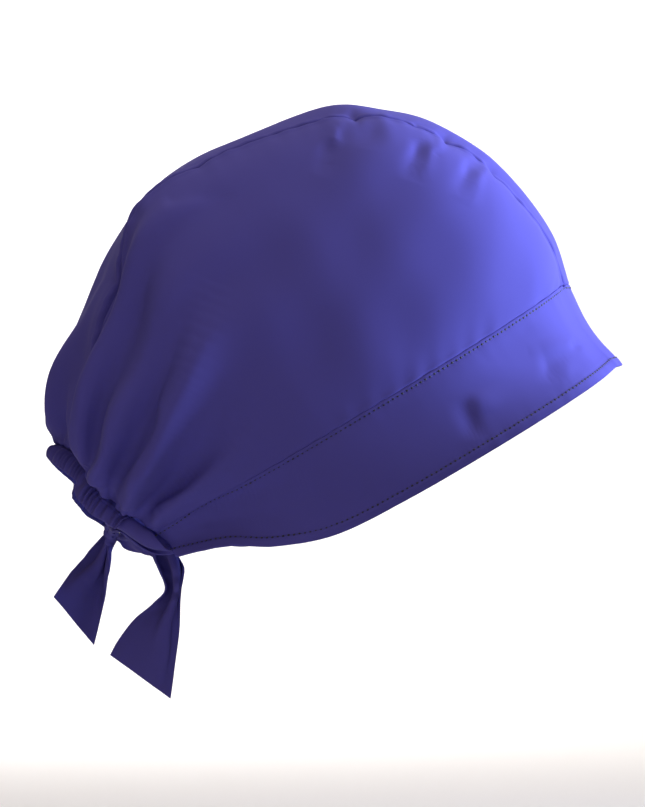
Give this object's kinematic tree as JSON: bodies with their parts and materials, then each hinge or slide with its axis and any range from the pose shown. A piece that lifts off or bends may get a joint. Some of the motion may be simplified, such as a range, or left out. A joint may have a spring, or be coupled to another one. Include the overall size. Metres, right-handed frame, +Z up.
{
  "type": "scrub cap",
  "caption": "Tie-back cloth cap in its worn form: rounded crown with a centre strip, deep slanted forehead band, ruched elastic casing at the nape and ties crossed below it.",
  "frame": {"origin": "where the top of the head bears on the inside of the crown, in the cap's plane of symmetry", "axes": "+X to the wearer's front, +Y to the wearer's left, +Z up as the cap is worn"},
  "size_m": [0.271, 0.1734, 0.2764],
  "materials": {
    "panel_cloth": "plain-woven royal blue-violet cotton and polyester cloth, matt with a faint sheen",
    "band_cloth": "the same cloth doubled, turned up and topstitched",
    "casing_cloth": "the same cloth gathered over elastic",
    "tie_cloth": "the same cloth folded lengthwise and sewn flat"
  },
  "bodies": {
    "root": {"side_panel_right": "panel_cloth", "side_panel_left": "panel_cloth", "crown_strip": "panel_cloth", "front_band": "band_cloth", "back_casing": "casing_cloth", "tie_right": "tie_cloth", "tie_left": "tie_cloth"}
  },
  "joints": []
}
